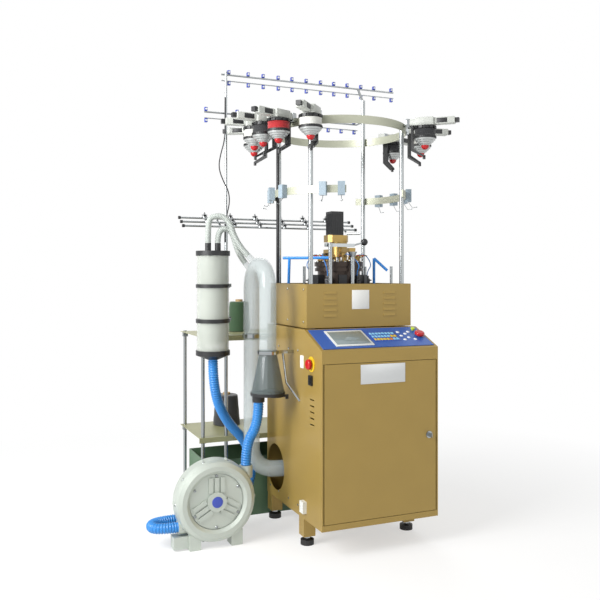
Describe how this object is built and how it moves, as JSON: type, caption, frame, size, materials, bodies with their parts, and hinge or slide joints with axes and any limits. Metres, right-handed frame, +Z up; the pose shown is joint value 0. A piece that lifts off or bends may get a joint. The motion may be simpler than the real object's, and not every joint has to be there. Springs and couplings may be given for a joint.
{
  "type": "industrial knitting machine",
  "caption": "Gold circular sock knitting machine with cabinet, knitting head, yarn feeder ring, creel, clear sock tube, collector cone, filter canister and suction blower.",
  "frame": {"origin": "middle of the machine's box on the floor, without the hoses and cable", "axes": "+X to the operator's right, +Y to the back, +Z up"},
  "size_m": [1.3417, 0.9502, 1.972],
  "materials": {
    "cabinet_shell": "fine textured gold paint",
    "levelling_feet": "black moulded",
    "console_housing": "fine textured gold paint",
    "control_panel": "satin film",
    "estop_button": "red moulded",
    "start_button": "yellow-green moulded",
    "front_door": "fine textured gold paint",
    "door_lock": "plated",
    "side_fittings": "moulded",
    "side_estop_button": "red moulded",
    "side_rocker": "black moulded",
    "head_housing": "fine textured gold paint",
    "bed_plate": "ground",
    "cam_ring": "ground",
    "needle_cylinder": "polished",
    "dial_bridge": "machined",
    "dial_motor": "black",
    "yarn_fingers": "machined",
    "head_posts": "plated",
    "lift_lever": "satin",
    "air_arms": "blue paint",
    "servo_motor": "black",
    "motor_pinion": "machined",
    "control_box": "grey paint",
    "ring_posts": "polished tube",
    "ring_bands": "rolled strip",
    "yarn_sensors": "grey-blue moulded",
    "feeder_housings": "white moulded",
    "feeder_brackets": "black moulded",
    "feeder_spools": "polished drum",
    "feeder_tips": "red moulded",
    "creel_posts": "polished tube",
    "creel_shelves": "pale grey paint",
    "creel_rods": "polished rod",
    "yarn_guides": "blue moulded",
    "yarn_cones": "wound yarn",
    "canister_sections": "clear white tube",
    "canister_caps": "white moulded",
    "sock_tube": "clear tube",
    "collector_cone": "smoked clear",
    "cone_base": "black moulded",
    "cone_flap": "black moulded",
    "tube_brackets": "bent strip",
    "blower_housing": "die cast",
    "blower_cover": "die cast",
    "blower_impeller": "die cast",
    "blower_motor": "die cast",
    "blue_hose_canister": "ribbed blue hose",
    "blue_hose_collector": "ribbed blue hose",
    "white_hose_upper": "ribbed white hose",
    "white_hose_lower": "ribbed white hose",
    "creel_cable": "sheath",
    "winder_1": "moulded disc",
    "winder_2": "moulded disc",
    "winder_3": "moulded disc",
    "winder_4": "moulded disc",
    "winder_5": "moulded disc",
    "winder_6": "moulded disc",
    "winder_7": "moulded disc",
    "winder_8": "moulded disc"
  },
  "bodies": {
    "machine": {"cabinet_shell": "cabinet_shell", "levelling_feet": "levelling_feet", "console_housing": "console_housing", "control_panel": "control_panel", "side_fittings": "side_fittings", "head_housing": "head_housing", "bed_plate": "bed_plate", "cam_ring": "cam_ring", "dial_bridge": "dial_bridge", "dial_motor": "dial_motor", "yarn_fingers": "yarn_fingers", "head_posts": "head_posts", "air_arms": "air_arms", "servo_motor": "servo_motor", "control_box": "control_box", "ring_posts": "ring_posts", "ring_bands": "ring_bands", "yarn_sensors": "yarn_sensors", "feeder_housings": "feeder_housings", "feeder_brackets": "feeder_brackets", "feeder_spools": "feeder_spools", "feeder_tips": "feeder_tips", "creel_posts": "creel_posts", "creel_shelves": "creel_shelves", "creel_rods": "creel_rods", "yarn_guides": "yarn_guides", "yarn_cones": "yarn_cones", "canister_sections": "canister_sections", "canister_caps": "canister_caps", "sock_tube": "sock_tube", "collector_cone": "collector_cone", "cone_base": "cone_base", "tube_brackets": "tube_brackets", "blower_housing": "blower_housing", "blower_cover": "blower_cover", "blower_motor": "blower_motor", "blue_hose_canister": "blue_hose_canister", "blue_hose_collector": "blue_hose_collector", "white_hose_upper": "white_hose_upper", "white_hose_lower": "white_hose_lower", "creel_cable": "creel_cable"},
    "door": {"front_door": "front_door"},
    "lock": {"door_lock": "door_lock"},
    "stop_button": {"estop_button": "estop_button"},
    "run_button": {"start_button": "start_button"},
    "side_stop": {"side_estop_button": "side_estop_button"},
    "switch": {"side_rocker": "side_rocker"},
    "cylinder": {"needle_cylinder": "needle_cylinder"},
    "pinion": {"motor_pinion": "motor_pinion"},
    "lever": {"lift_lever": "lift_lever"},
    "impeller": {"blower_impeller": "blower_impeller"},
    "flap": {"cone_flap": "cone_flap"},
    "winder_body_1": {"winder_1": "winder_1"},
    "winder_body_2": {"winder_2": "winder_2"},
    "winder_body_3": {"winder_3": "winder_3"},
    "winder_body_4": {"winder_4": "winder_4"},
    "winder_body_5": {"winder_5": "winder_5"},
    "winder_body_6": {"winder_6": "winder_6"},
    "winder_body_7": {"winder_7": "winder_7"},
    "winder_body_8": {"winder_8": "winder_8"}
  },
  "joints": [
    {"name": "door_hinge", "type": "hinge", "parent": "machine", "child": "door", "pos_m": [-0.11956, -0.44385, 0.43], "axis": [0, 0, 1], "range_deg": [-110, 0]},
    {"name": "lock_turn", "type": "hinge", "parent": "door", "child": "lock", "pos_m": [0.32994, -0.45185, 0.439], "axis": [0, 1, 0], "range_deg": [0, 90]},
    {"name": "stop_push", "type": "slide", "parent": "machine", "child": "stop_button", "axis": [0, 0.3866, -0.9223], "range_m": [0, 0.004], "stiffness_N_per_m": 800},
    {"name": "run_push", "type": "slide", "parent": "machine", "child": "run_button", "axis": [0, 0.3866, -0.9223], "range_m": [0, 0.003], "stiffness_N_per_m": 600},
    {"name": "side_stop_push", "type": "slide", "parent": "machine", "child": "side_stop", "axis": [1, 0, 0], "range_m": [0, 0.004], "stiffness_N_per_m": 800},
    {"name": "switch_tilt", "type": "hinge", "parent": "machine", "child": "switch", "pos_m": [-0.14436, -0.35385, 0.667], "axis": [0, 1, 0], "range_deg": [-8, 8]},
    {"name": "cylinder_spin", "type": "hinge", "parent": "machine", "child": "cylinder", "pos_m": [0.11694, -0.07085, 1], "axis": [0, 0, 1], "continuous": true},
    {"name": "pinion_spin", "type": "hinge", "parent": "machine", "child": "pinion", "pos_m": [0.23194, -0.07085, 0.975], "axis": [0, 0, 1], "continuous": true},
    {"name": "lever_lift", "type": "hinge", "parent": "machine", "child": "lever", "pos_m": [0.01194, -0.18885, 1.197], "axis": [0, 1, 0], "range_deg": [-25, 0]},
    {"name": "impeller_spin", "type": "hinge", "parent": "machine", "child": "impeller", "pos_m": [-0.45806, -0.12085, 0.183], "axis": [0, 1, 0], "continuous": true},
    {"name": "flap_hinge", "type": "hinge", "parent": "machine", "child": "flap", "pos_m": [-0.18406, -0.19085, 0.58675], "axis": [0, 1, 0], "range_deg": [-80, 0], "stiffness_Nm_per_rad": 0.05, "springref_deg": 28.65},
    {"name": "winder_spin_1", "type": "hinge", "parent": "machine", "child": "winder_body_1", "pos_m": [-0.13785, -0.346, 1.685], "axis": [0, 0, 1], "continuous": true},
    {"name": "winder_spin_2", "type": "hinge", "parent": "machine", "child": "winder_body_2", "pos_m": [-0.22402, -0.22696, 1.685], "axis": [0, 0, 1], "continuous": true},
    {"name": "winder_spin_3", "type": "hinge", "parent": "machine", "child": "winder_body_3", "pos_m": [-0.25344, -0.12951, 1.685], "axis": [0, 0, 1], "continuous": true},
    {"name": "winder_spin_4", "type": "hinge", "parent": "machine", "child": "winder_body_4", "pos_m": [-0.25565, -0.0284, 1.685], "axis": [0, 0, 1], "continuous": true},
    {"name": "winder_spin_5", "type": "hinge", "parent": "machine", "child": "winder_body_5", "pos_m": [-0.2028, 0.12509, 1.685], "axis": [0, 0, 1], "continuous": true},
    {"name": "winder_spin_6", "type": "hinge", "parent": "machine", "child": "winder_body_6", "pos_m": [0.39165, -0.32612, 1.685], "axis": [0, 0, 1], "continuous": true},
    {"name": "winder_spin_7", "type": "hinge", "parent": "machine", "child": "winder_body_7", "pos_m": [0.4848, -0.14369, 1.685], "axis": [0, 0, 1], "continuous": true},
    {"name": "winder_spin_8", "type": "hinge", "parent": "machine", "child": "winder_body_8", "pos_m": [0.46537, 0.06781, 1.685], "axis": [0, 0, 1], "continuous": true}
  ],
  "couplings": [
    {"joint": "pinion_spin", "follows": "cylinder_spin", "ratio": -3.6}
  ]
}
